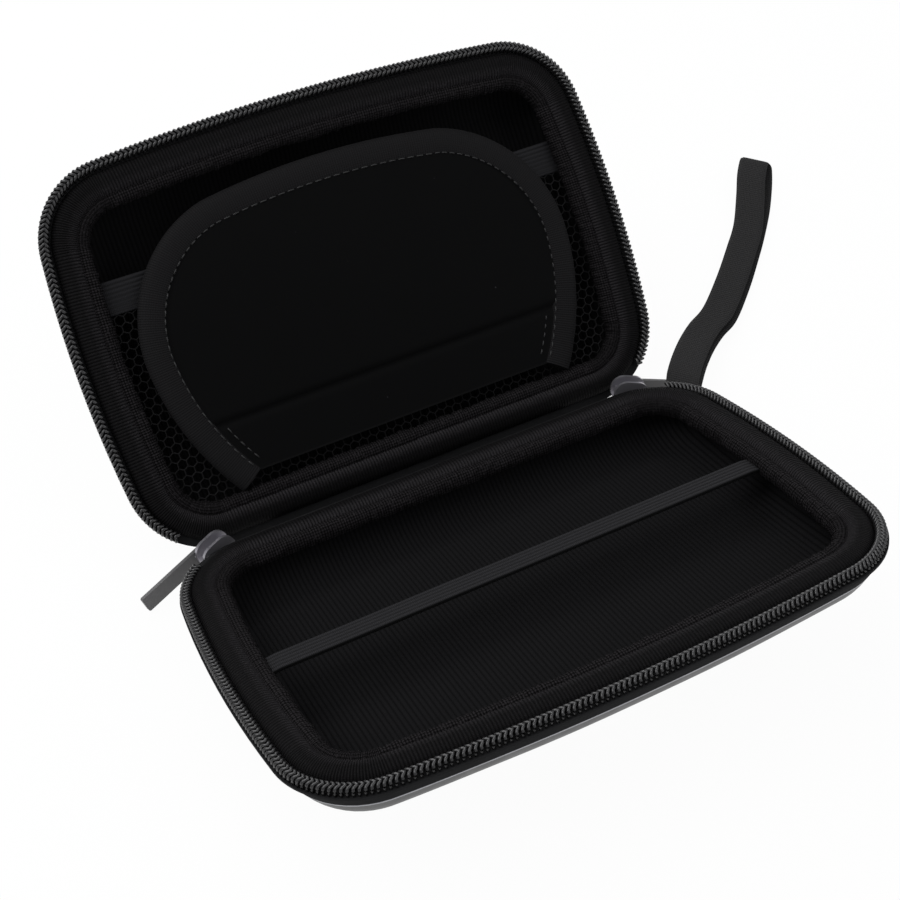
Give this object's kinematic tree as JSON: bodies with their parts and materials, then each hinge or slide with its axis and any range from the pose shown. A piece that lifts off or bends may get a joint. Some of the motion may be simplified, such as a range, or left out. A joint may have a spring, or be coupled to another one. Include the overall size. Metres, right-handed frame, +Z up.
{
  "type": "handheld console carrying case",
  "caption": "Zipped moulded shell case standing open, with lined tray, elastic band, padded screen flap, net pocket, metal zip pulls and a webbing wrist loop.",
  "frame": {"origin": "centre of the base's flat underside", "axes": "+X along the hinge towards the wrist loop's side, +Y from the base's front towards the hinge and the opened lid, +Z up from the ground, with the open case leaning back by 16.8 degrees"},
  "size_m": [0.2752, 0.2073, 0.091],
  "materials": {
    "shell": "moulded foam faced outside with tight black weave and inside with brushed black knit in fine stripes",
    "tape": "fine black woven tape",
    "teeth": "black moulded coil, slight sheen",
    "binding": "ribbed black nylon tape",
    "gathered_edge": "crimped black knit",
    "elastic": "ribbed black elastic",
    "slider_metal": "light grey lacquered die-cast",
    "pull_metal": "satin grey lacquer",
    "webbing": "coarse ribbed black webbing",
    "net": "soft black netting",
    "flap_cloth": "smooth matt black cloth",
    "flap_binding": "ribbed stretch knit binding"
  },
  "bodies": {
    "base": {"base_shell": "shell", "base_zip_tape": "tape", "base_zip_teeth": "teeth", "base_binding": "binding", "base_gathered_edge": "gathered_edge", "base_elastic": "elastic", "hinge_strip": "tape", "left_slider": "slider_metal", "right_slider": "slider_metal", "wrist_strap": "webbing"},
    "lid": {"lid_shell": "shell", "lid_zip_tape": "tape", "lid_zip_teeth": "teeth", "lid_binding": "binding", "lid_gathered_edge": "gathered_edge", "lid_net": "net", "pocket_elastic": "elastic", "flap_hinge_panel": "flap_cloth"},
    "flap": {"flap_panel": "flap_cloth", "flap_binding": "flap_binding"},
    "left_tab": {"left_pull": "pull_metal"},
    "right_tab": {"right_pull": "pull_metal"}
  },
  "joints": [
    {"name": "lid_hinge", "type": "hinge", "parent": "base", "child": "lid", "pos_m": [0, 0.05929, -0.00257], "axis": [1, 0, 0], "range_deg": [0, 117]},
    {"name": "flap_hinge", "type": "hinge", "parent": "lid", "child": "flap", "pos_m": [0, 0.08738, 0.0176], "axis": [1, 0, 0], "range_deg": [0, 8]},
    {"name": "left_pull_hinge", "type": "hinge", "parent": "base", "child": "left_tab", "pos_m": [-0.07038, 0.06388, -0.00364], "axis": [0.2662, -0.2099, -0.9408], "range_deg": [0, 45]},
    {"name": "right_pull_hinge", "type": "hinge", "parent": "base", "child": "right_tab", "pos_m": [0.07038, 0.06388, -0.00364], "axis": [0.2662, 0.2099, 0.9408], "range_deg": [0, 45]}
  ]
}
